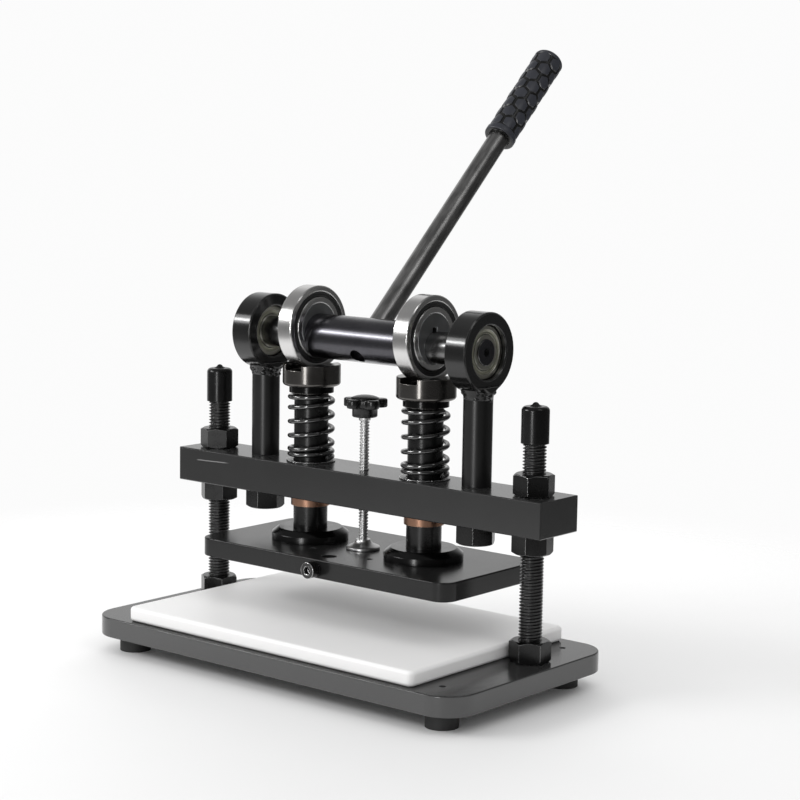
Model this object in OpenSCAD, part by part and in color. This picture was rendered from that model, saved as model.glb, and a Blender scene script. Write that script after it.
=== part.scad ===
// Manual die cutting machine: a hand lever turns an eccentric shaft whose two rollers push a
// sprung press plate down onto a die that lies on a cutting board.
// Millimetres, Z up, X to the right, Y to the back. The origin lies on the bench under the
// centre of the base plate, and the lever is shown at rest, leaning back.

/* [Base plate and feet] */
// Length of the base plate, left to right
base_l = 380; // [340:1:460]
// Depth of the base plate, front to back
base_w = 200; // [170:1:260]
// Thickness of the base plate
base_t = 16; // [10:0.5:25]
// Radius of the base plate's corners
base_corner = 26; // [8:1:40]
// Rounding of the edges of the base plate and the press plate
plate_edge = 1; // [0.5:0.25:3]
// Diameter of a rubber foot
foot_d = 25; // [18:0.5:36]
// Height of a rubber foot
foot_h = 13.5; // [9:0.5:25]
// Distance from the base plate's ends to the centre of a foot
foot_end = 29; // [20:1:50]
// Distance from the base plate's front and back to the centre of a foot
foot_side = 25; // [20:1:40]
// Diameter of a foot screw
foot_screw_d = 5; // [3:0.5:6]

/* [Cutting board] */
// Thickness of the cutting board
board_t = 12; // [6:0.5:16]
// Rounding of the cutting board's edges
board_edge = 3; // [1:0.5:3]
// Radius of the cutting board's corners
board_corner = 5; // [4:0.5:12]
// Gap from the cutting board's ends to the base nuts
board_gap = 0.8; // [0.5:0.1:10]
// Margin of the base plate in front of and behind the cutting board
board_margin = 5; // [0:0.5:20]

/* [Columns and nuts] */
// Diameter of the threaded columns
column_d = 18; // [12:0.5:22]
// Distance from the base plate's ends to a column's axis
column_end = 25; // [18:0.5:26]
// Distance of the columns behind the middle of the base plate
column_back = 26; // [0:1:50]
// Height of a column above the base plate
column_h = 190; // [180:1:260]
// Width across the flats of the hexagon nuts
nut_af = 28; // [25:0.5:34]
// Height of the hexagon nuts
nut_h = 16.5; // [10:0.5:20]
// Outer diameter of the vinyl thread caps
cap_d = 21.4; // [20:0.2:26]
// Length of column that a thread cap covers
cap_cover = 23; // [12:0.5:26]
// Thickness of a thread cap over the column's end
cap_roof = 5; // [2:0.5:6]
// Height of the moulding tip on a thread cap
cap_tip_h = 3; // [2:0.5:8]

/* [Cross beam] */
// Clear height from the base plate to the cross beam
beam_gap = 99.5; // [90:0.5:130]
// Depth of the cross beam, front to back
beam_w = 48; // [40:1:70]
// Height of the cross beam
beam_t = 28; // [20:0.5:40]
// Length of beam beyond a column's axis
beam_over = 24; // [18:0.5:40]
// Clearance round a column in the beam's hole
column_clear = 0.5; // [0.3:0.1:1]
// Outer diameter of the bronze bushes
bush_d = 32; // [31:0.5:36]
// Length of bush below the beam
bush_below = 8; // [2:0.5:14]

/* [Bearing posts] */
// Distance from a roller's middle to the middle of its bearing post
post_offset = 51; // [42:0.5:60]
// Diameter of a post's stem
stem_d = 23; // [20:0.5:30]
// Diameter of a post's threaded shank
shank_d = 18; // [12:0.5:19]
// Height of the shaft's axis above the beam
shaft_h = 103.6; // [98:0.1:120]
// Outer diameter of a bearing ring
ring_d = 62; // [54:0.5:70]
// Width of a bearing ring
ring_w = 20; // [14:0.5:30]
// Reach of the weld between stem and ring
weld = 3; // [1:0.5:5]
// Outer diameter of the shaft's ball bearings
bearing_d = 42; // [38:0.5:47]
// Bore of the shaft's ball bearings
bearing_bore = 20; // [15:0.5:23]
// Width of the shaft's ball bearings
bearing_w = 12; // [8:0.5:14]
// Number of balls in a shaft bearing
bearing_balls = 9; // [7:1:10]

/* [Cam shaft and rollers] */
// Diameter of the shaft between the rollers
shaft_d = 36; // [30:0.5:37]
// Diameter of the shaft's journals
journal_d = 25; // [24:0.5:28]
// Offset of the rollers from the shaft's axis
eccentricity = 6.5; // [3:0.1:6.5]
// Least wall of an eccentric hub
hub_wall = 1; // [1:0.25:4]
// Distance between the middles of the two rollers
roller_span = 120; // [110:1:150]
// Outer diameter of a roller
roller_d = 68; // [62:0.5:76]
// Width of a roller
roller_w = 15; // [12:0.5:20]
// Number of balls in a roller
roller_balls = 12; // [9:1:12]
// Width and height of a hub key
key_size = 6; // [4:0.5:8]
// Length of a hub key
key_l = 12; // [8:0.5:12]

/* [Lever] */
// Angle of the lever above the horizontal, leaning back
lever_angle = 43.9; // [20:0.1:70]
// Length of the lever from the shaft's axis
lever_l = 334; // [250:1:450]
// Diameter of the lever bar
lever_d = 17.5; // [12:0.5:20]
// Diameter of the lever bar's threaded end
lever_thread_d = 13.5; // [8:0.5:15]
// Depth of the lever bar's seat in the shaft
lever_seat = 5; // [3:0.5:8]
// Length of the hand grip
grip_l = 103; // [80:1:140]
// Diameter of the hand grip
grip_d = 26.4; // [22:0.2:34]
// Diameter of the ring at the grip's open end
grip_ring_d = 27.2; // [24:0.2:36]
// Length of the ring at the grip's open end
grip_ring_l = 6; // [3:0.5:12]
// Thickness of the grip's closed end
grip_wall = 4; // [2:0.5:8]

/* [Press] */
// Length of the press plate
plate_l = 260; // [220:1:280]
// Depth of the press plate, front to back
plate_w = 120; // [100:1:150]
// Thickness of the press plate
plate_t = 15; // [12:0.5:22]
// Radius of the press plate's corners
plate_corner = 13; // [4:0.5:25]
// Diameter of the plungers
plunger_d = 28; // [24:0.5:29]
// Length of a plunger between the press plate and its slotted cap
plunger_l = 121.3; // [112:0.1:128]
// Diameter of a plunger's flange
flange_d = 63; // [46:0.5:80]
// Thickness of a plunger's flange
flange_t = 10; // [6:0.5:14]
// Diameter of a slotted cap
saddle_d = 47.5; // [44:0.5:60]
// Height of a slotted cap
saddle_h = 17.7; // [14:0.1:22]
// Depth of the slot that a roller runs in
slot_depth = 4.4; // [2:0.1:6]
// Gap on each side of a roller in its slot
slot_clear = 1; // [0.5:0.1:2]
// Diameter of the collar under a slotted cap
collar_d = 36.5; // [34:0.5:40]
// Height of the collar under a slotted cap
collar_h = 5.5; // [3:0.5:9]
// Length of plunger inside its slotted cap
plunger_seat = 12; // [8:0.5:14]
// Diameter of the screws that hold the plungers
plunger_screw_d = 10; // [6:0.5:12]
// Diameter of the hole for a die's shank
die_hole_d = 12; // [8:0.5:16]
// Distance of the die hole behind the press plate's front edge
die_hole_back = 16; // [12:0.5:24]
// Diameter of the threaded die holes
die_screw_d = 5; // [3:0.5:8]
// Distance between the threaded die holes, both ways
die_pitch = 60; // [40:1:70]
// Diameter of the clamp screw in the front edge
clamp_d = 8; // [5:0.5:8]

/* [Springs] */
// Wire thickness of the springs
wire_d = 3.6; // [2:0.1:4]
// Outer diameter of the springs
spring_d = 38.4; // [38:0.1:44]
// Turns of a spring
spring_turns = 6; // [4:0.25:7]
// Turns that lie close at the bottom of a spring
closed_below = 1.75; // [0.75:0.25:2]
// Turns that lie close at the top of a spring
closed_above = 0.75; // [0.5:0.25:1.5]
// Thickness of the washers under the springs
washer_t = 1.2; // [0.8:0.1:3]

/* [Limit screw] */
// Diameter of the limit screw
limit_d = 8; // [6:0.5:10]
// Distance of the limit screw in front of the beam's middle
limit_front = 3; // [0:0.5:8]
// Height of the star knob above the beam
knob_up = 42.7; // [30:0.1:48]
// Diameter of the star knob
knob_d = 36.4; // [30:0.2:46]
// Number of lobes on the star knob
knob_lobes = 5; // [4:1:7]
// Thickness of the star knob's lobes
lobe_t = 6.8; // [4:0.2:9]
// Diameter of the star knob's hub
hub_d = 20.4; // [16:0.2:24]
// Height of the star knob's hub below the lobes
hub_h = 8; // [4:0.5:12]
// Height of the star knob's domed top
dome_h = 2.4; // [1:0.2:3]
// Diameter of the limit screw's swivel foot
pad_d = 27.4; // [20:0.2:30]
// Height of the limit screw's swivel foot
pad_h = 8; // [6:0.5:12]

/* [Hidden] */
$fn = 96;
left = -1;
right = 1;
SIDES = [left, right];

// Clearances
fit = 0.05;        // radial, for pieces that turn or slide in each other
run_gap = 0.3;     // between curved faces that roll or rest on each other
ball_gap = 0.15;   // round a ball in its race
seal_gap = 0.4;    // between a seal and the ring that turns past it
over = 1;          // how far a cut runs past the face that it opens

// Heights
base_top = foot_h + base_t;
beam_z = base_top + beam_gap;
beam_top = beam_z + beam_t;
shaft_z = beam_top + shaft_h;
roller_z = shaft_z + eccentricity;
slot_z = roller_z - roller_d / 2 - run_gap;
saddle_top = slot_z + slot_depth;
saddle_z = saddle_top - saddle_h;
collar_z = saddle_z - collar_h;
plate_top = collar_z - plunger_l;
plate_z = plate_top - plate_t;
column_top = base_top + column_h;
cap_z = column_top - cap_cover;
knob_z = beam_top + knob_up;

// Places along X and Y
column_x = base_l / 2 - column_end;
roller_x = roller_span / 2;
post_x = roller_x + post_offset;
beam_l = 2 * (column_x + beam_over);
foot_x = base_l / 2 - foot_end;
foot_y = base_w / 2 - foot_side;
plate_front = column_back - plate_w / 2;
die_y = plate_front + die_hole_back;
limit_y = column_back - limit_front;

// Nuts, with the angle at which the left and the right one stand
nut_ac = nut_af / cos(30);
nut_face = 0.97 * nut_af;
nut_waist = nut_face / 2 + nut_h / 2 / tan(30);
base_nut_turn = [-36, -25];
lower_nut_turn = [-35, -13];
upper_nut_turn = [-24, -11];
post_nut_turn = [-10, 0];

// Cutting board
board_l = 2 * (column_x - nut_ac / 2 - board_gap);
board_w = base_w - 2 * board_margin;

// Eccentric hubs and bearings
hub_od = journal_d + 2 * (eccentricity + hub_wall);
ball_share = 0.29;
groove_share = 0.55;
shield_t = 0.6;
shield_inset = 0.5;
shaft_past_bearing = 1;
centre_drill = 4;

// Screw heads
foot_head_d = 1.8 * foot_screw_d;
foot_head_h = 0.7 * foot_screw_d;
foot_recess_d = 1.4 * foot_head_d;
foot_recess = 0.45 * foot_h;
foot_screw_short = 3;
plunger_head_d = 2 * plunger_screw_d;
plunger_head_h = plunger_screw_d / 2;
plunger_screw_grip = 1.5 * plunger_screw_d;
clamp_head_d = 1.6 * clamp_d;
clamp_standoff = 2;
clamp_short = 0.5;
socket_share = 0.75;
socket_depth = 0.55;

// Lever: distances along the bar from the shaft's axis
seat_s = shaft_d / 2 - lever_seat;
thread_s = -shaft_d / 4;
grip_s = lever_l - grip_l;
grip_round = 5;

// Small forms
saddle_round = 3;
saddle_cut = 0.6;
beam_cut = 0.7;
ring_cut = 0.9;
rim_cut = 0.9;
race_cut = 0.3;
flange_round = 1;
cap_round = 3.5;
cap_tip_d = 5.6;
cap_flare = 1.4;
washer_wide = 1.6;
pad_rim = 2;
pad_floor = 2.5;
pad_neck_d = 2 * limit_d;
knob_grip = 0.8;
lobe_share = 0.3;
lobe_turn = 50;

// Springs
spring_z = beam_top + washer_t + run_gap;
spring_h = collar_z - run_gap - spring_z;
coil_r = (spring_d - wire_d) / 2;
close_gap = 0.7;
close_pitch = wire_d + close_gap;
rings = 8;
sides = 6;
ring_r = coil_r * 2 / (1 + cos(180 / rings));

// Section of a slab: a rectangle that stands on its base line, with rounded corners
module slab_section(w, t, edge) {
    translate([-w / 2 + edge, 0]) square([w - 2 * edge, t]);
    translate([-w / 2, edge]) square([w, t - 2 * edge]);
    for (x = [-w / 2 + edge, w / 2 - edge], y = [edge, t - edge])
        translate([x, y]) circle(r = edge);
}

// Flat slab on Z = 0 with round corners and rounded edges
module slab(l, w, t, corner, edge) {
    rotate([90, 0, 90])
        linear_extrude(l - 2 * corner, center = true) slab_section(w, t, edge);
    rotate([90, 0, 0])
        linear_extrude(w - 2 * corner, center = true) slab_section(l, t, edge);
    for (x = SIDES, y = SIDES)
        translate([x * (l / 2 - corner), y * (w / 2 - corner), 0])
            rotate_extrude()
                intersection() {
                    slab_section(2 * corner, t, edge);
                    square([corner, t]);
                }
}

// Half profile of a disc whose top edge is rounded
module round_top_profile(r, h, edge) {
    square([r, h - edge]);
    square([r - edge, h]);
    translate([r - edge, h - edge]) circle(r = edge);
}

// Hexagon nut on Z = 0, chamfered at both ends
module hex_nut(bore, turns, side) {
    turn = side == left ? turns[0] : turns[1];
    difference() {
        intersection() {
            rotate(turn) cylinder(d = nut_ac, h = nut_h, $fn = 6);
            rotate_extrude()
                polygon([
                    [0, 0], [nut_face / 2, 0], [nut_waist, nut_h / 2],
                    [nut_face / 2, nut_h], [0, nut_h]
                ]);
        }
        translate([0, 0, -over]) cylinder(d = bore, h = nut_h + 2 * over);
    }
}

// Half profile of a ring, with cut corners at its bore and at its rim
module ring_profile(r0, r1, cut0, cut1, w) {
    polygon([
        [r0 + cut0, -w / 2], [r1 - cut1, -w / 2], [r1, cut1 - w / 2], [r1, w / 2 - cut1],
        [r1 - cut1, w / 2], [r0 + cut0, w / 2], [r0, w / 2 - cut0], [r0, cut0 - w / 2]
    ]);
}

// Rectangle about the origin with cut corners
module cut_rectangle(l, w, cut) {
    polygon([
        [cut - l / 2, -w / 2], [l / 2 - cut, -w / 2], [l / 2, cut - w / 2], [l / 2, w / 2 - cut],
        [l / 2 - cut, w / 2], [cut - l / 2, w / 2], [-l / 2, w / 2 - cut], [-l / 2, cut - w / 2]
    ]);
}

// Block about the origin with cut edges
module cut_block(l, w, t, cut) {
    intersection() {
        linear_extrude(t, center = true) cut_rectangle(l, w, cut);
        rotate([90, 0, 0]) linear_extrude(w, center = true) cut_rectangle(l, t, cut);
        rotate([90, 0, 90]) linear_extrude(l, center = true) cut_rectangle(w, t, cut);
    }
}

// Cylinder along X from x0 to x1
module bar_x(d, x0, x1) {
    translate([x0, 0, 0]) rotate([0, 90, 0]) cylinder(d = d, h = x1 - x0);
}

// Ball bearings: every piece lies along X, centred on the origin
function pitch_r(bore, od) = (bore + od) / 4;
function ball_d(bore, od) = ball_share * (od - bore);
function inner_r(bore, od) = pitch_r(bore, od) - groove_share * ball_d(bore, od) / 2;
function outer_r(bore, od) = pitch_r(bore, od) + groove_share * ball_d(bore, od) / 2;

module race(r0, r1, cut0, cut1, bore, od, w) {
    rotate([0, 90, 0])
        rotate_extrude()
            difference() {
                ring_profile(r0, r1, cut0, cut1, w);
                translate([pitch_r(bore, od), 0]) circle(d = ball_d(bore, od) + 2 * ball_gap);
            }
}

module outer_race(bore, od, w) race(outer_r(bore, od), od / 2, race_cut, rim_cut, bore, od, w);

module inner_race(bore, od, w) race(bore / 2, inner_r(bore, od), race_cut, race_cut, bore, od, w);

module race_balls(bore, od, n) {
    for (i = [0:n - 1])
        rotate([i * 360 / n, 0, 0])
            translate([0, 0, pitch_r(bore, od)]) sphere(d = ball_d(bore, od));
}

module race_covers(bore, od, w) {
    for (side = SIDES)
        translate([side * (w / 2 - shield_inset - shield_t / 2), 0, 0])
            rotate([0, 90, 0])
                difference() {
                    cylinder(r = outer_r(bore, od), h = shield_t, center = true);
                    cylinder(r = inner_r(bore, od) + seal_gap, h = shield_t + over, center = true);
                }
}

// Places
module at_column(side, z) translate([side * column_x, column_back, z]) children();

module at_post(side, z) translate([side * post_x, column_back, z]) children();

module at_plunger(side, z) translate([side * roller_x, column_back, z]) children();

module at_limit(z) translate([0, limit_y, z]) children();

module on_lever() translate([0, column_back, shaft_z]) rotate([lever_angle - 90, 0, 0]) children();

// Base
module base_plate() {
    color("#3a3a3d")
        difference() {
            translate([0, 0, foot_h]) slab(base_l, base_w, base_t, base_corner, plate_edge);
            for (side = SIDES)
                at_column(side, foot_h - over) cylinder(d = column_d, h = base_t + 2 * over);
            for (x = SIDES, y = SIDES)
                translate([x * foot_x, y * foot_y, foot_h - over])
                    cylinder(d = foot_screw_d, h = base_t + 2 * over);
        }
}

module rubber_feet() {
    color("#161617")
        for (x = SIDES, y = SIDES)
            translate([x * foot_x, y * foot_y, 0])
                difference() {
                    cylinder(d = foot_d, h = foot_h);
                    translate([0, 0, -over]) cylinder(d = foot_recess_d, h = foot_recess + over);
                    cylinder(d = foot_screw_d, h = foot_h + over);
                }
}

module foot_screws() {
    color("#9a9ca0")
        for (x = SIDES, y = SIDES)
            translate([x * foot_x, y * foot_y, foot_recess]) {
                translate([0, 0, -foot_head_h]) cylinder(d = foot_head_d, h = foot_head_h);
                cylinder(d = foot_screw_d, h = base_top - foot_screw_short - foot_recess);
            }
}

module cutting_board() {
    color("#f4f4f2")
        translate([0, 0, base_top]) slab(board_l, board_w, board_t, board_corner, board_edge);
}

module column(side) {
    color("#232325") at_column(side, foot_h) cylinder(d = column_d, h = column_top - foot_h);
}

module base_nut(side) {
    color("#1f1f21") at_column(side, base_top) hex_nut(column_d, base_nut_turn, side);
}

module thread_cap(side) {
    cap_h = cap_cover + cap_roof;
    color("#0f0f10")
        at_column(side, cap_z)
            difference() {
                union() {
                    rotate_extrude() round_top_profile(cap_d / 2, cap_h, cap_round);
                    cylinder(d = cap_tip_d, h = cap_h + cap_tip_h - cap_tip_d / 2);
                    translate([0, 0, cap_h]) cylinder(d1 = cap_tip_d + 3 * cap_flare, d2 = cap_tip_d - cap_flare / 2, h = cap_flare);
                    translate([0, 0, cap_h + cap_tip_h - cap_tip_d / 2]) sphere(d = cap_tip_d);
                }
                translate([0, 0, -over]) cylinder(d = column_d, h = cap_cover + over);
            }
}

// Cross beam and what is fixed to it
module cross_beam() {
    color("#2b2b2e")
        difference() {
            translate([0, column_back, beam_z + beam_t / 2]) cut_block(beam_l, beam_w, beam_t, beam_cut);
            for (side = SIDES) {
                at_column(side, beam_z - over)
                    cylinder(d = column_d + 2 * column_clear, h = beam_t + 2 * over);
                at_post(side, beam_z - over) cylinder(d = shank_d, h = beam_t + 2 * over);
                at_plunger(side, beam_z - over) cylinder(d = bush_d, h = beam_t + 2 * over);
            }
            at_limit(beam_z - over) cylinder(d = limit_d + 2 * fit, h = beam_t + 2 * over);
        }
}

module lower_nut(side) {
    color("#1f1f21")
        at_column(side, beam_z - nut_h) hex_nut(column_d + 2 * fit, lower_nut_turn, side);
}

module upper_nut(side) {
    color("#1f1f21") at_column(side, beam_top) hex_nut(column_d + 2 * fit, upper_nut_turn, side);
}

module bearing_post(side) {
    foot_of_ring = shaft_h - ring_d / 2;
    color("#1d1d1f")
        at_post(side, beam_top) {
            difference() {
                union() {
                    cylinder(d = stem_d, h = shaft_h - bearing_d / 2);
                    translate([0, 0, foot_of_ring - weld])
                        cylinder(d1 = stem_d, d2 = stem_d + 2 * weld, h = 2 * weld);
                }
                translate([0, 0, shaft_h]) bar_x(ring_d, -stem_d, stem_d);
            }
            translate([0, 0, shaft_h])
                rotate([0, 90, 0])
                    rotate_extrude() ring_profile(bearing_d / 2, ring_d / 2, ring_cut, ring_cut, ring_w);
            translate([0, 0, -beam_t - nut_h]) cylinder(d = shank_d, h = beam_t + nut_h);
        }
}

module post_nut(side) {
    color("#1f1f21") at_post(side, beam_z - nut_h) hex_nut(shank_d, post_nut_turn, side);
}

module bearing_outer(side) {
    color("#8d8e86") at_post(side, shaft_z) outer_race(bearing_bore, bearing_d, bearing_w);
}

module bearing_inner(side) {
    color("#8d8e86") at_post(side, shaft_z) inner_race(bearing_bore, bearing_d, bearing_w);
}

module bearing_balls(side) {
    color("#b5b5b5") at_post(side, shaft_z) race_balls(bearing_bore, bearing_d, bearing_balls);
}

module bearing_shields(side) {
    color("#6f6f5c") at_post(side, shaft_z) race_covers(bearing_bore, bearing_d, bearing_w);
}

module bush(side) {
    color("#a9673f")
        at_plunger(side, beam_z - bush_below)
            difference() {
                cylinder(d = bush_d, h = beam_t + bush_below);
                translate([0, 0, -over])
                    cylinder(d = plunger_d + 2 * fit, h = beam_t + bush_below + 2 * over);
            }
}

module spring_washer(side) {
    color("#77787a")
        at_plunger(side, beam_top)
            difference() {
                cylinder(d = spring_d + washer_wide, h = washer_t);
                translate([0, 0, -over])
                    cylinder(d = plunger_d + washer_wide, h = washer_t + 2 * over);
            }
}

// Height of the wire's centre line after a number of turns: close turns at both ends
function open_pitch() =
    (spring_h - wire_d - (closed_below + closed_above) * close_pitch)
    / (spring_turns - closed_below - closed_above);

function wire_z(turn) =
    wire_d / 2 + close_pitch * min(turn, closed_below)
    + open_pitch() * max(0, min(turn, spring_turns - closed_above) - closed_below)
    + close_pitch * max(0, turn - spring_turns + closed_above);

function wire_point(turn) = [ring_r * cos(360 * turn), ring_r * sin(360 * turn), wire_z(turn)];

// Least gap between one turn of the wire and the next
function wire_gap(points) =
    min([for (i = [0:len(points) - 1 - rings]) norm(points[i + rings] - points[i])]) - wire_d;

module coil() {
    steps = round(spring_turns * rings);
    centres = [for (i = [0:steps]) wire_point(i / rings)];
    corners = [
        for (i = [0:steps], k = [0:sides - 1])
            let (a = 360 * i / rings, b = 360 * k / sides)
                centres[i] + wire_d / 2 * [cos(b) * cos(a), cos(b) * sin(a), sin(b)]
    ];
    walls = [
        for (i = [0:steps - 1], k = [0:sides - 1])
            let (p = i * sides + k, q = i * sides + (k + 1) % sides)
                each [[p, q, p + sides], [q, q + sides, p + sides]]
    ];
    last = steps * sides;
    ends = [for (k = [1:sides - 2]) each [[0, k + 1, k], [last, last + k, last + k + 1]]];
    echo(least_gap_in_a_spring = wire_gap(centres));
    polyhedron(points = corners, faces = concat(walls, ends));
}

module spring(side) {
    color("#1a1a1c") at_plunger(side, spring_z) coil();
}

// Cam shaft
module cam_shaft() {
    shoulder_x = roller_x - roller_w / 2;
    journal_x = post_x - bearing_w / 2;
    end_x = post_x + bearing_w / 2 + shaft_past_bearing;
    color("#2a2a2c")
        difference() {
            translate([0, column_back, shaft_z]) {
                bar_x(shaft_d, -shoulder_x, shoulder_x);
                for (side = SIDES)
                    rotate(side == left ? 180 : 0) {
                        bar_x(journal_d, shoulder_x, journal_x);
                        bar_x(bearing_bore, journal_x, end_x);
                    }
            }
            on_lever() {
                cylinder(d = lever_thread_d, h = 2 * shaft_d, center = true);
                translate([0, 0, seat_s]) cylinder(d = lever_d, h = shaft_d);
            }
            hub_keys();
            for (side = SIDES)
                translate([side * end_x, column_back, shaft_z])
                    rotate([0, -side * 90, 0]) cylinder(d1 = centre_drill, d2 = 0, h = centre_drill / 2);
        }
}

module hub(side) {
    color("#333336")
        difference() {
            at_plunger(side, roller_z) bar_x(hub_od, -roller_w / 2, roller_w / 2);
            at_plunger(side, shaft_z) bar_x(journal_d, -roller_w, roller_w);
            at_plunger(side, shaft_z + journal_d / 2)
                cube([2 * roller_w, key_size, key_size], center = true);
        }
}

module hub_keys() {
    color("#55565a")
        for (side = SIDES)
            at_plunger(side, shaft_z + journal_d / 2)
                translate([side * (key_l - roller_w) / 2, 0, 0])
                    cube([key_l, key_size, key_size], center = true);
}

module lever_bar() {
    color("#2a2a2c")
        on_lever() {
            translate([0, 0, thread_s]) cylinder(d = lever_thread_d, h = seat_s - thread_s);
            translate([0, 0, seat_s]) cylinder(d = lever_d, h = lever_l - grip_wall - seat_s);
        }
}

module lever_grip() {
    color("#191a1f")
        on_lever()
            translate([0, 0, grip_s])
                difference() {
                    rotate_extrude() {
                        round_top_profile(grip_d / 2, grip_l, grip_round);
                        square([grip_ring_d / 2, grip_ring_l]);
                    }
                    translate([0, 0, -over]) cylinder(d = lever_d, h = grip_l - grip_wall + over);
                }
}

module roller_outer(side) {
    color("#d5d5d3") at_plunger(side, roller_z) outer_race(hub_od, roller_d, roller_w);
}

module roller_inner(side) {
    color("#c5c5c3") at_plunger(side, roller_z) inner_race(hub_od, roller_d, roller_w);
}

module roller_balls(side) {
    color("#b5b5b5") at_plunger(side, roller_z) race_balls(hub_od, roller_d, roller_balls);
}

module roller_seals(side) {
    color("#141415") at_plunger(side, roller_z) race_covers(hub_od, roller_d, roller_w);
}

// Press
module press_plate() {
    color("#4a4b4f")
        difference() {
            translate([0, column_back, plate_z])
                slab(plate_l, plate_w, plate_t, plate_corner, plate_edge);
            translate([0, die_y, plate_z - over]) cylinder(d = die_hole_d, h = plate_t + 2 * over);
            translate([0, die_y, plate_z + plate_t / 2])
                rotate([90, 0, 0]) cylinder(d = clamp_d, h = die_hole_back + over);
            for (x = SIDES, y = SIDES)
                translate([x * die_pitch / 2, column_back + y * die_pitch / 2, plate_z - over])
                    cylinder(d = die_screw_d, h = plate_t + 2 * over);
            plunger_screw_bodies();
        }
}

module plunger(side) {
    color("#1c1c1e")
        difference() {
            at_plunger(side, plate_top) cylinder(d = plunger_d, h = plunger_l + plunger_seat);
            plunger_screw_bodies();
        }
}

module flange(side) {
    color("#1c1c1e")
        at_plunger(side, plate_top)
            difference() {
                rotate_extrude() round_top_profile(flange_d / 2, flange_t, flange_round);
                translate([0, 0, -over]) cylinder(d = plunger_d, h = flange_t + 2 * over);
            }
}

module slotted_cap(side) {
    color("#2d2d30")
        at_plunger(side, collar_z)
            difference() {
                union() {
                    cylinder(d = collar_d, h = collar_h);
                    translate([0, 0, collar_h + saddle_h])
                        mirror([0, 0, 1])
                            rotate_extrude()
                                difference() {
                                    round_top_profile(saddle_d / 2, saddle_h, saddle_round);
                                    translate([saddle_d / 2, 0])
                                        rotate(45) square(saddle_cut * sqrt(2), center = true);
                                }
                }
                translate([0, 0, -over]) cylinder(d = plunger_d, h = plunger_seat + over);
                translate([0, 0, slot_z - collar_z + slot_depth])
                    cube([roller_w + 2 * slot_clear, 2 * saddle_d, 2 * slot_depth], center = true);
            }
}

// Countersunk screws that come up through the press plate into the plungers
module plunger_screw_bodies() {
    for (side = SIDES)
        at_plunger(side, plate_z) {
            cylinder(d1 = plunger_head_d, d2 = plunger_screw_d, h = plunger_head_h);
            cylinder(d = plunger_screw_d, h = plate_t + plunger_screw_grip);
        }
}

module plunger_screws() {
    color("#55565a")
        difference() {
            plunger_screw_bodies();
            for (side = SIDES)
                at_plunger(side, plate_z - over)
                    cylinder(d = socket_share * plunger_screw_d, h = plunger_head_h + over, $fn = 6);
        }
}

module clamp_screw() {
    reach = die_hole_back - die_hole_d / 2 - clamp_short;
    color("#3c3d40")
        translate([0, plate_front, plate_z + plate_t / 2])
            rotate([90, 0, 0])
                difference() {
                    union() {
                        translate([0, 0, -reach]) cylinder(d = clamp_d, h = reach + clamp_standoff);
                        translate([0, 0, clamp_standoff]) cylinder(d = clamp_head_d, h = clamp_d);
                    }
                    translate([0, 0, clamp_standoff + clamp_d * (1 - socket_depth)])
                        cylinder(d = socket_share * clamp_d / cos(30), h = clamp_d, $fn = 6);
                }
}

// Limit screw
module limit_screw() {
    tip_z = plate_top + pad_floor;
    color("#b9babd")
        at_limit(tip_z) cylinder(d = limit_d, h = knob_z + knob_grip * (hub_h + lobe_t) - tip_z);
}

module star_knob() {
    lobe_d = lobe_share * knob_d;
    color("#151516")
        at_limit(knob_z)
            difference() {
                union() {
                    cylinder(d = hub_d, h = hub_h);
                    translate([0, 0, hub_h])
                        linear_extrude(lobe_t) {
                            circle(d = hub_d);
                            for (i = [0:knob_lobes - 1])
                                rotate(lobe_turn + i * 360 / knob_lobes) {
                                    translate([(knob_d - lobe_d) / 2, 0]) circle(d = lobe_d);
                                    translate([0, -lobe_d / 2]) square([(knob_d - lobe_d) / 2, lobe_d]);
                                }
                        }
                    translate([0, 0, hub_h + lobe_t]) dome(hub_d, dome_h);
                }
                translate([0, 0, -over])
                    cylinder(d = limit_d, h = knob_grip * (hub_h + lobe_t) + over);
            }
}

// Shallow spherical cap on Z = 0
module dome(d, h) {
    r = (d * d / 4 + h * h) / (2 * h);
    intersection() {
        translate([0, 0, h - r]) sphere(r = r);
        cylinder(d = d, h = h + over);
    }
}

module limit_foot() {
    color("#c4c5c7")
        at_limit(plate_top)
            difference() {
                union() {
                    cylinder(d = pad_d, h = pad_rim);
                    translate([0, 0, pad_rim])
                        cylinder(d1 = pad_d, d2 = pad_neck_d, h = (pad_h - pad_rim) / 2);
                    cylinder(d = pad_neck_d, h = pad_h);
                }
                translate([0, 0, pad_floor - run_gap]) cylinder(d = limit_d + 2 * fit, h = pad_h);
            }
}

base_plate();
rubber_feet();
foot_screws();
cutting_board();
column(left);  // column_left
column(right);  // column_right
base_nut(left);  // base_nut_left
base_nut(right);  // base_nut_right
thread_cap(left);  // thread_cap_left
thread_cap(right);  // thread_cap_right
cross_beam();
lower_nut(left);  // lower_nut_left
lower_nut(right);  // lower_nut_right
upper_nut(left);  // upper_nut_left
upper_nut(right);  // upper_nut_right
bearing_post(left);  // bearing_post_left
bearing_post(right);  // bearing_post_right
post_nut(left);  // post_nut_left
post_nut(right);  // post_nut_right
bearing_outer(left);  // bearing_outer_left
bearing_outer(right);  // bearing_outer_right
bearing_inner(left);  // bearing_inner_left
bearing_inner(right);  // bearing_inner_right
bearing_balls(left);  // bearing_balls_left
bearing_balls(right);  // bearing_balls_right
bearing_shields(left);  // bearing_shields_left
bearing_shields(right);  // bearing_shields_right
bush(left);  // bush_left
bush(right);  // bush_right
spring_washer(left);  // spring_washer_left
spring_washer(right);  // spring_washer_right
spring(left);  // spring_left
spring(right);  // spring_right
cam_shaft();
hub(left);  // hub_left
hub(right);  // hub_right
hub_keys();
lever_bar();
lever_grip();
roller_outer(left);  // roller_outer_left
roller_outer(right);  // roller_outer_right
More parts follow.
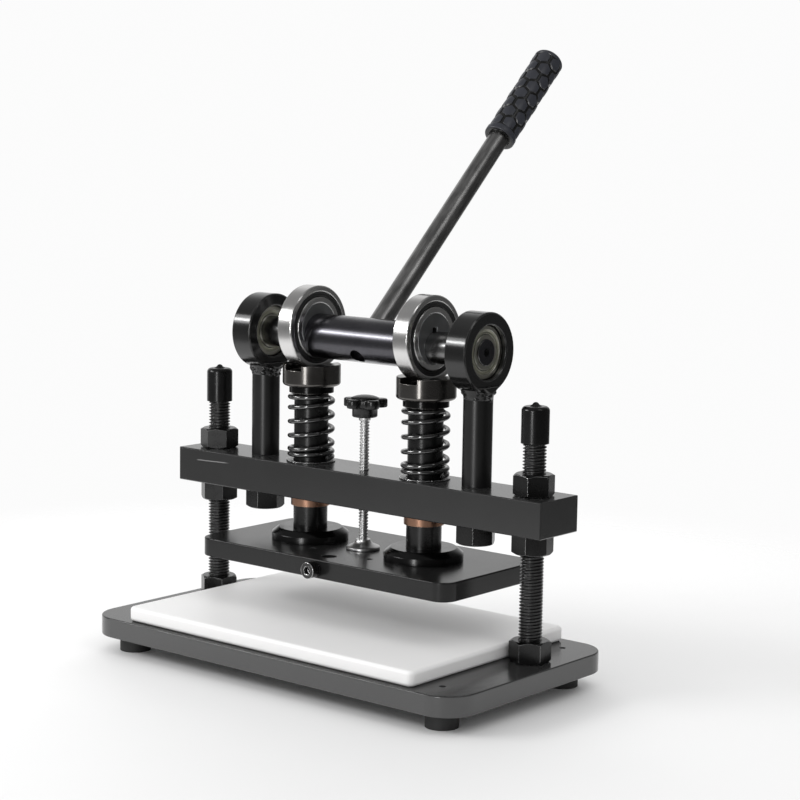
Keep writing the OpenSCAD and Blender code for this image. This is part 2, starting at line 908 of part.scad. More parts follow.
roller_inner(left);  // roller_inner_left
roller_inner(right);  // roller_inner_right
roller_balls(left);  // roller_balls_left
roller_balls(right);  // roller_balls_right
roller_seals(left);  // roller_seals_left
roller_seals(right);  // roller_seals_right
press_plate();
plunger(left);  // plunger_left
plunger(right);  // plunger_right
flange(left);  // flange_left
flange(right);  // flange_right
slotted_cap(left);  // slotted_cap_left
slotted_cap(right);  // slotted_cap_right
plunger_screws();
clamp_screw();
limit_screw();
star_knob();
limit_foot();
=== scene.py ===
# %% [markdown]
# A hand lever press for punching with cutting dies, dressed for its picture.
# The CAD model already holds every solid at its true size, so this lesson only adds what a photograph shows:
# screw threads, coils, a moulded grip, welds and the finish of each surface.
# Everything is in metres and in the CAD model's own frame, so no piece has to be fitted by eye.
# Outlines, and the places of marks on a surface, are written in millimetres and brought to metres by MM.

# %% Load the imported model
import math

import bmesh
import bpy
from mathutils import Matrix, Vector


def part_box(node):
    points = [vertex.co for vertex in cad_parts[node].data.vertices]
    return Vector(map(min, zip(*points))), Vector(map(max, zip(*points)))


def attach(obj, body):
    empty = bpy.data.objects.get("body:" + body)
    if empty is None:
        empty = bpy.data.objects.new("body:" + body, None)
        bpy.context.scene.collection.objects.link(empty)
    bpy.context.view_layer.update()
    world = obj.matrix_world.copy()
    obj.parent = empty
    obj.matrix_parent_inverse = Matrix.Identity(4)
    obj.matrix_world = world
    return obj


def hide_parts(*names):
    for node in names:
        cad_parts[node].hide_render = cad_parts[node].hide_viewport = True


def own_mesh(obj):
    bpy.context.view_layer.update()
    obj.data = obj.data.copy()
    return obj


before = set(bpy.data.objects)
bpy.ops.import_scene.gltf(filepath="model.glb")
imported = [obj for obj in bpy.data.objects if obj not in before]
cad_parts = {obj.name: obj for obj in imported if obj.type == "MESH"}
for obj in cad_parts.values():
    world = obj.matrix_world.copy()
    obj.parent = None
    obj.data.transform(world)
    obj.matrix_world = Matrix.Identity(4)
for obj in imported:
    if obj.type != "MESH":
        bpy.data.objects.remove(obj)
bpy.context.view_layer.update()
MM = 0.001

# %% [markdown]
# The camera stands where the photographer stood.
# A camera can be placed by eye, but here its numbers were solved from the straight edges of the plates,
# so the focal length is known in pixels of a square frame and becomes a lens for a 36 mm sensor.

# %% The camera
FRAME_PIXELS, FOCAL_PIXELS, SENSOR = 800, 2039.28, 36
AZIMUTH, ELEVATION, ROLL = 39.56, 7.61, 0.90
AIM_RIGHT, AIM_UP, EYE_DISTANCE = 42.48, 216.0, 1605.08
azimuth, elevation, roll = (math.radians(angle) for angle in (AZIMUTH, ELEVATION, ROLL))
level = math.cos(elevation)
back = Vector((math.sin(azimuth) * level, -math.cos(azimuth) * level, math.sin(elevation)))
right = Vector((math.cos(azimuth), math.sin(azimuth), 0))
up = back.cross(right)
aim = right * AIM_RIGHT * MM + Vector((0, 0, AIM_UP * MM))
eye = aim + back * EYE_DISTANCE * MM
across = math.cos(roll) * right + math.sin(roll) * up
upright = math.cos(roll) * up - math.sin(roll) * right

lens = bpy.data.cameras.new("camera")
lens.sensor_width = SENSOR
lens.lens = lens.sensor_width * FOCAL_PIXELS / FRAME_PIXELS
camera = bpy.data.objects.new("camera", lens)
camera.matrix_world = Matrix.Translation(eye) @ Matrix((across, upright, back)).transposed().to_4x4()
bpy.context.collection.objects.link(camera)
bpy.context.scene.camera = camera
bpy.context.scene.view_settings.view_transform = "Standard"
print("lens", round(lens.lens, 2), "mm at", [round(value / MM) for value in eye], "mm")

# %% [markdown]
# Node trees are long to write by hand, so one small class stands for a socket and lets a sum be written as a sum.
# The same class serves shaders and Geometry Nodes, because both use the same Math nodes.
# Every other node comes from its node method, which makes the settings first and fills the sockets after.

# %% A socket that can be reckoned with
class Signal:
    def __init__(self, tree, socket=None):
        self.tree, self.socket = tree, socket

    def node(self, kind, settings, inputs, output=0):
        made = self.tree.nodes.new(kind)
        for name, value in settings.items():
            setattr(made, name, value)
        for name, value in inputs.items():
            if isinstance(value, Signal):
                self.tree.links.new(value.socket, made.inputs[name])
            else:
                made.inputs[name].default_value = value
        return Signal(self.tree, made.outputs[output])

    def math(self, operation, first, second=0.0):
        return self.node("ShaderNodeMath", {"operation": operation}, {0: first, 1: second})

    def __add__(self, other):
        return self.math("ADD", self, other)

    __radd__ = __add__

    def __sub__(self, other):
        return self.math("SUBTRACT", self, other)

    def __rsub__(self, other):
        return self.math("SUBTRACT", other, self)

    def __mul__(self, other):
        return self.math("MULTIPLY", self, other)

    __rmul__ = __mul__

    def __truediv__(self, other):
        return self.math("DIVIDE", self, other)

    def __rtruediv__(self, other):
        return self.math("DIVIDE", other, self)

    def __pow__(self, power):
        return self.math("POWER", self, power)

    def floor(self):
        return self.math("FLOOR", self)

    def absolute(self):
        return self.math("ABSOLUTE", self)

    def least(self, other):
        return self.math("MINIMUM", self, other)

    def most(self, other):
        return self.math("MAXIMUM", self, other)

    def ramp(self, low, high):
        """0 below low, 1 above high and smooth between them."""
        return self.node("ShaderNodeMapRange", {"interpolation_type": "SMOOTHSTEP"}, {0: self, 1: low, 2: high})

    def between(self, low, high):
        """A number between low and high, by this value."""
        return self * high + (1 - self) * low

    def mix(self, dark, light):
        """A colour between dark and light, by this value."""
        return self.node("ShaderNodeMix", {"data_type": "RGBA"}, {0: self, 6: dark, 7: light}, 2)

    def part(self, axis):
        return self.node("ShaderNodeSeparateXYZ", {}, {0: self}, axis)

    def vector(self, operation, inputs, output=0):
        return self.node("ShaderNodeVectorMath", {"operation": operation}, inputs, output)

    def times(self, vector):
        return self.vector("MULTIPLY", {0: self, 1: vector})

    def plus(self, vector):
        return self.vector("ADD", {0: self, 1: vector})

    def dot(self, vector):
        return self.vector("DOT_PRODUCT", {0: self, 1: vector}, "Value")

    def length(self):
        return self.vector("LENGTH", {0: self}, "Value")

    def wind(self, angle, rise):
        """A place round the Z axis: this value is its distance from the axis, rise its height."""
        x, y = self * angle.math("COSINE", angle), self * angle.math("SINE", angle)
        return self.node("ShaderNodeCombineXYZ", {}, {0: x, 1: y, 2: rise})


print("node helper ready")

# %% [markdown]
# The studio: a white wall behind the machine, a light panel to the photographer's left, a dark room elsewhere.
# Black paint and polished steel are mostly reflections, so the room decides how they look.
# A room could be modelled with walls, but a world that answers by direction gives the same bands with no geometry.
# Camera rays see plain white all round. Glossy rays see the white wall where it is, a little dimmer to the right
# and higher up, and the darker room beside it. All other rays see an even light that is weaker on the right.

# %% The room
CAMERA_WHITE, WALL_WHITE, EVEN_LIGHT = 0.97, 0.95, 0.94
WALL_RIGHT_LOSS, WALL_HIGH_LOSS, EVEN_RIGHT_LOSS = 0.22, 0.08, 0.30
DARK, LEFT_GLOW, GROUND_GLOW, CEILING_GLOW = 0.09, 0.12, 0.25, 0.15
world = bpy.data.worlds.new("studio")
bpy.context.scene.world = world
world.use_nodes = True
world.cycles.sampling_method = "NONE"
look = Signal(world.node_tree).node("ShaderNodeTexCoord", {}, {}, "Generated")
rays = {
    name: look.node("ShaderNodeLightPath", {}, {}, name)
    for name in ("Is Camera Ray", "Is Glossy Ray", "Is Transmission Ray")
}
away = -Vector((back.x, back.y, 0)).normalized()
height, to_right = look.part("Z"), look.dot(right)
wall = look.dot(away).ramp(0.35, 0.8) * (1 - height.ramp(0.45, 0.85)) * (1 - to_right.ramp(0.35, 0.7))
left_side = look.dot(-right).ramp(-0.1, 0.6)
ceiling, ground = height.ramp(0.5, 0.95), (-1 * height).ramp(0.0, 0.5)
dark_room = DARK + left_side * (LEFT_GLOW + GROUND_GLOW * ground) + CEILING_GLOW * ceiling
wall_white = WALL_WHITE - WALL_RIGHT_LOSS * to_right.ramp(0.02, 0.22) - WALL_HIGH_LOSS * height.ramp(0.10, 0.20)
even = EVEN_LIGHT - EVEN_RIGHT_LOSS * to_right.ramp(0.1, 0.9)
mirrored = rays["Is Glossy Ray"].most(rays["Is Transmission Ray"])
indirect = mirrored.between(even, wall.between(dark_room, wall_white))
strength = rays["Is Camera Ray"].between(indirect, CAMERA_WHITE)
background = world.node_tree.nodes["Background"]
background.inputs["Color"].default_value = (1, 1, 1, 1)
world.node_tree.links.new(strength.socket, background.inputs["Strength"])
print("room ready, even light", EVEN_LIGHT)

# %% [markdown]
# Five lamps. The key panel stands level with the machine's shoulder on the left and draws the bright band round each
# roller, with a weaker glow round it, as a softbox has.
# The tall strip stands nearer the photographer and only draws the upright line on every post: it lights no pale face,
# so the front of the board isn't washed out. A weak panel high on the right draws the line on the leaning lever.
# The last is the light that the white wall gives back: it reaches in under the press plate, and no steel mirrors it.
# All are area lamps, because a soft edge on the shadow and a clean edge in the reflection come only from a real size.

# %% The lamps
AXIS_Y = 0.026
LAMP_AIM = Vector((0, AXIS_Y, 0.2))


def panel(name, side, tilt, distance, wide, tall, power):
    """An area lamp that faces the machine from `side` degrees left of the camera and `tilt` degrees up."""
    light = bpy.data.lights.new(name, "AREA")
    light.shape, light.size, light.size_y, light.energy = "RECTANGLE", wide, tall, power
    lamp = bpy.data.objects.new(name, light)
    swing, lift = math.radians(side), math.radians(tilt)
    flat = -math.cos(swing) * away - math.sin(swing) * right
    towards = math.cos(lift) * flat + math.sin(lift) * Vector((0, 0, 1))
    lamp.location = LAMP_AIM + distance * towards
    lamp.rotation_euler = towards.to_track_quat("Z", "Y").to_euler()
    lamp.visible_camera = False
    bpy.context.collection.objects.link(lamp)
    return lamp


key = panel("key_panel", side=82, tilt=24, distance=1.9, wide=0.9, tall=0.13, power=8)
glow = panel("key_glow", side=82, tilt=25, distance=1.94, wide=1.0, tall=0.56, power=7)
strip = panel("strip_panel", side=26, tilt=8, distance=2.0, wide=0.26, tall=1.2, power=14)
strip.visible_diffuse = False
top = panel("top_panel", side=-48, tilt=50, distance=2.0, wide=0.6, tall=0.6, power=2.5)
wall_light = panel("wall_light", side=180, tilt=13, distance=2.0, wide=2.0, tall=0.5, power=24)
wall_light.visible_glossy = False
print("lamps:", key.name, glow.name, strip.name, top.name, wall_light.name)

# %% [markdown]
# Finishes. Each one starts from the same few touches: a cloudy change of colour, a fine grain that roughens and
# dents the surface, and rounded edges, which most finishes paint a little brighter: partly rubbed wear,
# partly a painted highlight where an edge catches the light.
# Image textures could hold that, but noise on Object coordinates needs no unwrapping and stays sharp at any size.

# %% Touches shared by the finishes
def grey(value, warm=0.0):
    """A neutral colour of that brightness, a little to red when warm is above 0 and to blue below."""
    return (value * (1 + warm), value, value * (1 - warm), 1)


def new_finish(name, fixed):
    """A material with its fixed sockets set. Gives back the material, its place on the object and its shader."""
    made = bpy.data.materials.new(name)
    made.use_nodes = True
    shader = made.node_tree.nodes["Principled BSDF"]
    for socket, value in fixed.items():
        shader.inputs[socket].default_value = value
    return made, Signal(made.node_tree).node("ShaderNodeTexCoord", {}, {}, "Object"), shader


def feed(shader, **signals):
    """Links each signal to the socket of that name, with a space for each underscore."""
    for name, signal in signals.items():
        signal.tree.links.new(signal.socket, shader.inputs[name.replace("_", " ")])


def grain(spot, size, drawn=(1, 1, 1), detail=3.0):
    """Noise with lumps about `size` millimetres across, drawn out along an axis where `drawn` is below 1."""
    return spot.node(
        "ShaderNodeTexNoise", {}, {"Vector": spot.times(drawn), "Scale": 1 / (size * MM), "Detail": detail}
    )


def dent(height, depth, rounded=None):
    """A bumped normal: `height` from 0 to 1 is worth `depth` millimetres. It can start from rounded edges."""
    start = {} if rounded is None else {"Normal": rounded}
    return height.node("ShaderNodeBump", {}, {"Distance": depth * MM, "Height": height} | start, "Normal")


def worn_and_glinting_edges(spot, width):
    """Edges about `width` millimetres wide: a value that is 1 along them, and the normal that rounds them off."""
    rounded = spot.node("ShaderNodeBevel", {"samples": 6}, {"Radius": width * MM})
    plain = spot.node("ShaderNodeNewGeometry", {}, {}, "Normal")
    # The value lightens edges in several finishes: partly rubbed wear, partly a painted highlight.
    return (1 - rounded.dot(plain)).ramp(0.01, 0.12), rounded


def ring_marks(spot, size, axis, middle=(0, 0, 0)):
    """Turning marks: fine rings round an axis, along it and across its end faces."""
    moved = spot.plus([-value for value in middle])
    radius = moved.times([0 if name == axis else 1 for name in "XYZ"]).length()
    unrolled = moved.node("ShaderNodeCombineXYZ", {}, {0: moved.part(axis), 1: radius})
    return grain(unrolled, size, detail=2.0)


print("finish helpers ready")

# %% [markdown]
# The floor is one pale round sheet that fades out at its rim, so no edge shows from any side.
# A plane with a horizon would also do, but its far part would be mirrored in the steel where the photograph is dark.

# %% The floor
FLOOR_RADIUS, FADE_FROM, FADE_TO = 0.8, 0.42, 0.78


def add_object(name, mesh):
    made = bpy.data.objects.new(name, mesh)
    bpy.context.collection.objects.link(made)
    return made


disc = bmesh.new()
bmesh.ops.create_circle(disc, cap_ends=True, segments=128, radius=FLOOR_RADIUS)
floor = add_object("floor", bpy.data.meshes.new("floor"))
disc.to_mesh(floor.data)
disc.free()
floor_sheet, spot, sheet = new_finish("floor_sheet", {"Roughness": 0.7, "Specular IOR Level": 0.2})
cloud = spot.node("ShaderNodeTexNoise", {}, {"Vector": spot, "Scale": 6.0, "Detail": 2.0})
feed(sheet, Base_Color=cloud.mix(grey(0.83), grey(0.85)))
rim = spot.length().ramp(FADE_FROM, FADE_TO)
clear = spot.node("ShaderNodeBsdfTransparent", {}, {})
faded = spot.node("ShaderNodeMixShader", {}, {0: rim, 1: Signal(spot.tree, sheet.outputs[0]), 2: clear})
feed(spot.tree.nodes["Material Output"], Surface=faded)
floor.data.materials.append(floor_sheet)
print("floor radius", FLOOR_RADIUS, "m")

# %% [markdown]
# Satin black paint covers the base and the cross beam. It is nearly smooth, so the wall behind shows in its top faces
# at a low angle, and its front faces stay a dark grey. The sides of the base are painted a lighter grey: painted
# bounce light from the floor in front.
# Sprayed paint has a fine peel, which a faint bump gives, and the beam carries one light scratch on its front.
# The bearing posts are gloss black, with duller stems.

# %% Satin and gloss black paint
BASE_TOP, BEAM_FRONT, STEM_TOP = 29.4, 2.1, 222
SCRATCH_LEFT, SCRATCH_RIGHT, SCRATCH_UP, SCRATCH_SLOPE = -168, -138, 148, 0.036
satin_black, spot, shader = new_finish("satin_black_paint", {"IOR": 1.5})
cloud, peel = grain(spot, 60), grain(spot, 0.9)
rounded = worn_and_glinting_edges(spot, 0.4)[1]
x, y, z = (spot.part(axis) for axis in "XYZ")
wander = (grain(spot, 6) - 0.5) * 0.6 * MM
off_line = z - SCRATCH_UP * MM - (x - SCRATCH_LEFT * MM) * SCRATCH_SLOPE + wander
on_line = 1 - off_line.absolute().ramp(0.15 * MM, 0.5 * MM)
started = x.ramp((SCRATCH_LEFT - 1) * MM, (SCRATCH_LEFT + 3) * MM)
ended = x.ramp(SCRATCH_RIGHT * MM, (SCRATCH_RIGHT + 9) * MM)
on_front = 1 - y.ramp(BEAM_FRONT * MM, (BEAM_FRONT + 0.3) * MM)
scratch = on_line * started * (1 - ended) * on_front
# Below the top of the base the paint is lighter: painted bounce light on the base's sides.
base_side_bounce_light = 1 - z.ramp((BASE_TOP - 0.8) * MM, BASE_TOP * MM)
paint = base_side_bounce_light.mix(cloud.mix(grey(0.020), grey(0.026)), cloud.mix(grey(0.064), grey(0.072)))
feed(
    shader,
    Base_Color=(scratch * 0.8).mix(paint, grey(0.30)),
    Roughness=0.13 + 0.08 * cloud + 0.07 * peel,
    Normal=dent(peel, 0.010, rounded),
)

gloss_black, spot, shader = new_finish("gloss_black_paint", {"IOR": 1.5, "Coat Roughness": 0.10})
cloud, peel = grain(spot, 30), grain(spot, 1.6)
edge, rounded = worn_and_glinting_edges(spot, 1.5)
stem = 1 - spot.part("Z").ramp(STEM_TOP * MM, (STEM_TOP + 10) * MM)
feed(
    shader,
    # Edges are painted a lighter grey: partly wear, partly a painted highlight.
    Base_Color=edge.mix(cloud.mix(grey(0.004), grey(0.008)), grey(0.06)),
    Roughness=0.12 + 0.08 * cloud + 0.15 * stem,
    Coat_Weight=(0.10 + 0.2 * cloud) * (1 - stem),
    Normal=dent(peel, 0.02, rounded),
)
print("paints:", satin_black.name, gloss_black.name)

# %% [markdown]
# Blacked steel is the finish of the nuts, screws, plungers and flanges: a thin dark oxide on bright metal,
# so it is a metal with a dark colour. Its edges are painted lighter: partly where the oxide rubs through to grey,
# partly a painted highlight where they catch the light.
# The caps have a browner oxide, painted nearly black on the collar under the saddle as painted shade, and the hubs
# are nearly bare.

# %% Blacked steel
CAP_SHADE_TOP = 219.4


def blacked(name, low, high, rough, edge_light, warm=0.0, wide=0.5, shade_below=None):
    """Oxide in two greys, edges painted lighter as wear and highlight; painted shade below a height in mm if given.
    """
    made, spot, shader = new_finish(name, {})
    cloud, fine = grain(spot, 14), grain(spot, 0.7)
    edge, rounded = worn_and_glinting_edges(spot, wide)
    oxide = cloud.mix(grey(low, warm), grey(high, warm))
    if shade_below:
        above = spot.part("Z").ramp((shade_below - 0.2) * MM, (shade_below + 0.2) * MM)
        # Below that height the colour is painted nearly black: painted shade, used on the cap's collar under its
        # saddle.
        oxide = above.mix(grey(0.02), oxide)
    feed(
        shader,
        # Edges are painted lighter: partly rubbed oxide, partly a painted highlight.
        Base_Color=edge.mix(oxide, grey(edge_light, warm)),
        Metallic=0.92 + 0.08 * cloud,
        Roughness=rough - 0.08 + 0.16 * cloud + 0.08 * fine,
        Normal=dent(fine, 0.006, rounded),
    )
    return made


black_oxide = blacked("black_oxide", low=0.028, high=0.048, rough=0.24, edge_light=0.45, wide=0.6)
black_thread = blacked("black_thread", low=0.050, high=0.090, rough=0.34, edge_light=0.36, wide=0.2)
flange_black = blacked("flange_black", low=0.020, high=0.034, rough=0.18, edge_light=0.40, wide=0.6)
cap_brown = blacked("cap_brown", low=0.09, high=0.14, rough=0.16, edge_light=0.45, warm=0.05, shade_below=CAP_SHADE_TOP)
hub_grey = blacked("hub_grey", low=0.17, high=0.28, rough=0.44, edge_light=0.70, warm=-0.02, wide=0.6)
# Screw heads and washers have their edges painted nearly white: mostly a painted highlight, a little wear.
screw_black = blacked("screw_black", low=0.05, high=0.08, rough=0.22, edge_light=0.85, wide=0.8)
spring_black = blacked("spring_black", low=0.10, high=0.17, rough=0.12, edge_light=0.18, wide=0.2)
print("blacked steels: 7")

# %% [markdown]
# The shaft is steel straight from the lathe, bluish, with fine rings as grain. A film of oil, drawn as a flecked
# coat, gives its band of light a sharp core with a soft glow. Outside the hubs it is turned bright and has no film.
# Its centre drill is painted nearly black and dull, as painted shade: a hole that small needs no shape.
# The lever is drawn bar: lines run along it, and longer streaks are lighter and darker.

# %% The shaft and the lever
LEVER, DRILL_RADIUS, HUB_OUTSIDE = math.radians(43.9), 3, 64


def middle_of(node):
    low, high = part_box(node)
    return (low + high) / 2


SHAFT = middle_of("cam_shaft")
blued, spot, shader = new_finish("blued_shaft", {"Metallic": 1.0, "Coat Roughness": 0.06})
cloud, rings = grain(spot, 18), ring_marks(spot, 0.25, "X", SHAFT)
edge, rounded = worn_and_glinting_edges(spot, 0.5)
drill_shade = 1 - spot.plus(-SHAFT).times((0, 1, 1)).length().ramp(DRILL_RADIUS * MM, (DRILL_RADIUS + 0.6) * MM)
from_middle = (spot.part("X") - SHAFT.x).absolute()
half_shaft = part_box("cam_shaft")[1].x - SHAFT.x
outside = from_middle.ramp(HUB_OUTSIDE * MM, (HUB_OUTSIDE + 1) * MM)
journal = outside * (1 - from_middle.ramp(half_shaft - MM, half_shaft))
mottle = cloud * 0.6 + rings * 0.4
oiled = mottle.mix((0.054, 0.053, 0.060, 1), (0.098, 0.096, 0.108, 1))
# Edges are painted a lighter grey: partly wear, partly a painted highlight.
steel = journal.mix(edge.mix(oiled, grey(0.5)), mottle.mix(grey(0.15), grey(0.25)))
film = 0.05 + 0.3 * cloud + 0.3 * grain(spot, 1.5).ramp(0.35, 0.65)
feed(
    shader,
    # The centre drill is painted nearly black: painted shade in the hole.
    Base_Color=drill_shade.mix(steel, grey(0.01)),
    Roughness=0.18 + 0.06 * cloud + 0.08 * rings + 0.3 * drill_shade,
    Coat_Weight=film * (1 - drill_shade) * (1 - journal),
    Normal=dent(rings, 0.004, rounded),
)

drawn, spot, shader = new_finish("drawn_bar", {"Metallic": 1.0})
level_spot = spot.node("ShaderNodeMapping", {}, {"Vector": spot, "Rotation": (-LEVER, 0, 0)})
streaks, lines = grain(level_spot, 5, (1, 0.25, 1)), grain(level_spot, 0.6, (1, 0.02, 1))
feed(
    shader,
    Base_Color=(streaks.ramp(0.3, 0.7) * 0.4 + lines * 0.6).mix(grey(0.09, 0.01), grey(0.43, 0.01)),
    Roughness=0.22 + 0.20 * lines + 0.08 * streaks,
    Normal=dent(lines, 0.012),
)
print("turned and drawn steel:", blued.name, drawn.name)

# %% [markdown]
# Bright metals. The rollers are ground bearing steel, with grinding lines too fine to see singly.
# The shaft bearings behind them are oily and a little yellow, with olive zinc on their shields.
# Zinc plating on the limit screw and the screws of the feet is paler and softer, and the bushes are bronze.

# %% Bright metals
def bright(name, low, high, rough, size, axis=None, middle=(0, 0, 0), depth=0.002, wide=0.4):
    """Bare or plated metal between two colours, with turning marks when an axis is given and grain otherwise."""
    made, spot, shader = new_finish(name, {"Metallic": 1.0})
    cloud = grain(spot, 9)
    fine = ring_marks(spot, size, axis, middle) if axis else grain(spot, size)
    edge, rounded = worn_and_glinting_edges(spot, wide)
    feed(
        shader,
        # Edges are painted near white: partly wear, partly a painted highlight.
        Base_Color=edge.mix((cloud * 0.6 + fine * 0.4).mix(low, high), grey(0.85)),
        Roughness=rough - 0.02 + 0.05 * cloud + 0.04 * fine,
        Normal=dent(fine, depth, rounded),
    )
    return made


roller_ground = bright(
    "roller_ground", grey(0.60, 0.01), grey(0.72, 0.01), rough=0.19, size=0.2, axis="X",
    middle=middle_of("roller_outer_left"), depth=0.0006, wide=1.3,
)
bearing_ring = bright(
    "bearing_ring", (0.46, 0.45, 0.39, 1), (0.62, 0.61, 0.54, 1), rough=0.28, size=0.25, axis="X", middle=SHAFT
)
shield_olive = bright(
    "shield_olive", (0.40, 0.40, 0.30, 1), (0.56, 0.56, 0.45, 1), rough=0.42, size=0.3, axis="X", middle=SHAFT
)
ball_bright = bright("ball_bright", grey(0.62), grey(0.72), rough=0.05, size=0.5)
zinc_bright = bright("zinc_bright", grey(0.64, -0.01), grey(0.76, 0.01), rough=0.34, size=0.4, depth=0.0006)
bush_bronze = bright("bush_bronze", (0.27, 0.15, 0.10, 1), (0.38, 0.22, 0.15, 1), rough=0.30, size=0.3, axis="Z")
print("bright metals: 6")

# %% [markdown]
# The press plate is black and ground flat. A metal would mirror the flanges everywhere, so it is not one here:
# like paint, it mirrors them at a low angle and stays dark at a steep one.

# %% The press plate
plate_black, spot, shader = new_finish("plate_black", {"IOR": 1.36})
cloud, fine = grain(spot, 40), grain(spot, 0.5, (0.15, 1, 1))
edge, rounded = worn_and_glinting_edges(spot, 0.8)
feed(
    shader,
    # Edges are painted a lighter grey: partly wear, partly a painted highlight.
    Base_Color=edge.mix(cloud.mix(grey(0.010), grey(0.016)), grey(0.08)),
    Roughness=0.14 + 0.08 * cloud + 0.08 * fine,
    Normal=dent(fine, 0.005, rounded),
)
print("plate:", plate_black.name)

# %% [markdown]
# Rubber, vinyl and plastic: the feet and seals are dull, the caps and the knob shine.
# The grip is smoother in the grooves between its pads, and painted darker there as painted shade.

# %% Rubber and plastics
SLEEVE_DARK, SLEEVE_LIGHT = 12.2, 12.9


def between_pads(spot):
    """1 on the grip's sleeve below its pads, by the distance from the lever's axis."""
    level_spot = spot.node("ShaderNodeMapping", {}, {"Vector": spot.plus(-SHAFT), "Rotation": (-LEVER, 0, 0)})
    return 1 - level_spot.times((1, 0, 1)).length().ramp(SLEEVE_DARK * MM, SLEEVE_LIGHT * MM)


def moulded(name, dark, light, rough, size, depth, specular=0.5, groove=None):
    """Rubber or plastic between two colours. A groove rule marks where it is smoother and painted darker, as shade.
    """
    made, spot, shader = new_finish(name, {"Specular IOR Level": specular})
    cloud, fine = grain(spot, 16), grain(spot, size)
    rounded = worn_and_glinting_edges(spot, 0.6)[1]
    colour, dull = (cloud * 0.7 + fine * 0.3).mix(dark, light), rough - 0.06 + 0.12 * cloud + 0.06 * fine
    if groove:
        shaded_groove = groove(spot)
        # Grooves are painted nearly black: painted shade between the pads.
        colour, dull = shaded_groove.mix(colour, grey(0.006)), dull - 0.16 * shaded_groove
    feed(shader, Base_Color=colour, Roughness=dull, Normal=dent(fine, depth, rounded))
    return made


foot_rubber = moulded("foot_rubber", grey(0.010), grey(0.022), rough=0.65, size=0.8, depth=0.02)
seal_rubber = moulded("seal_rubber", grey(0.006), grey(0.012), rough=0.45, size=0.5, depth=0.006)
cap_vinyl = moulded("cap_vinyl", grey(0.002), grey(0.004), rough=0.22, size=2.5, depth=0.02, specular=0.4)
grip_rubber = moulded(
    "grip_rubber", (0.019, 0.020, 0.026, 1), (0.037, 0.040, 0.051, 1), rough=0.36, size=0.6, depth=0.02,
    groove=between_pads,
)
knob_plastic = moulded("knob_plastic", grey(0.003), grey(0.006), rough=0.24, size=1.8, depth=0.003)
print("rubber and plastics: 5")

# %% [markdown]
# The cutting board is white polyethylene, a little clouded, with the faint nicks of use along it.

# %% The board
board_white, spot, shader = new_finish("board_white", {"IOR": 1.5})
cloud, fine = grain(spot, 35), grain(spot, 0.5)
nicks = grain(spot, 5, (0.25, 1, 1)).ramp(0.66, 0.72)
feed(
    shader,
    Base_Color=(0.5 * cloud + 0.3 * nicks).mix((0.85, 0.845, 0.84, 1), (0.78, 0.78, 0.78, 1)),
    Roughness=0.42 + 0.12 * fine,
    Normal=dent(fine + 0.4 * (1 - nicks), 0.012),
)
print("board:", board_white.name)

# %% [markdown]
# Pieces that follow a rule are grown by Geometry Nodes: a tree holds the rule, its inputs hold the sizes,
# and the result is turned into a plain mesh so that the piece no longer needs the tree.

# %% Growing a piece from a tree
SOCKETS = {float: "NodeSocketFloat", int: "NodeSocketInt", tuple: "NodeSocketVector"}


def new_rule(name, sizes):
    """A Geometry Nodes tree with a named input for each size. Gives back the tree and its inputs."""
    tree = bpy.data.node_groups.new(name, "GeometryNodeTree")
    tree.interface.new_socket("Shape", in_out="OUTPUT", socket_type="NodeSocketGeometry")
    tree.interface.new_socket("Geometry", in_out="INPUT", socket_type="NodeSocketGeometry")
    tree.interface.new_socket("Finish", in_out="INPUT", socket_type="NodeSocketMaterial")
    for size, kind in sizes.items():
        tree.interface.new_socket(size, in_out="INPUT", socket_type=SOCKETS[kind])
    entry = tree.nodes.new("NodeGroupInput")
    return tree, {socket.name: Signal(tree, socket) for socket in entry.outputs if socket.name}


def end_rule(tree, inputs, shape):
    """Every tree ends alike: instances made real, then the finish."""
    real = shape.node("GeometryNodeRealizeInstances", {}, {0: shape})
    done = real.node("GeometryNodeSetMaterial", {}, {"Geometry": real, "Material": inputs["Finish"]})
    tree.links.new(done.socket, tree.nodes.new("NodeGroupOutput").inputs[0])


def grow(name, tree, finish, **sizes):
    """Runs the tree once and keeps its result as the plain mesh of a new object."""
    piece = add_object(name, bpy.data.meshes.new(name))
    rule = piece.modifiers.new("rule", "NODES")
    rule.node_group = tree
    values = {"Finish": finish} | sizes
    for item in tree.interface.items_tree:
        if item.in_out == "INPUT" and item.name in values:
            rule[item.identifier] = values[item.name]
    mesh = bpy.data.meshes.new_from_object(piece.evaluated_get(bpy.context.evaluated_depsgraph_get()))
    piece.modifiers.clear()
    piece.data = mesh
    mesh.name = name
    return piece


print("growing helpers ready")

# %% [markdown]
# Every piece is placed alike, whether it was grown or turned. Its faces are shaded smooth, but an edge stays sharp
# where they meet at more than a set angle. It moves with one body of the machine and hides the CAD solids that it
# stands for, so nothing is drawn twice.

# %% Placing a piece
def place(piece, body, slot, *nodes, sharp):
    """Shades the piece with edges over `sharp` degrees kept sharp, hangs it on its body and hides what it replaces.
    """
    piece.data.shade_smooth()
    piece.data.set_sharp_from_angle(angle=math.radians(sharp))
    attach(piece, body)
    if nodes:
        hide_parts(*nodes)
    print(piece.name, len(piece.data.polygons), "faces on", body)


print("placing helper ready")

# %% [markdown]
# A screw thread is a ridge wound round a rod. A texture could draw it, but the outline of a column shows its teeth,
# so it has to be a shape. The tree lays a flat grid, rolls it up and lets each row climb one pitch in a turn:
# two rows on the crest, two in the root, and the flanks between them. Past the ends the rows close to a point.
# The small fractions before a floor keep a whole row whole when it is rounded down.

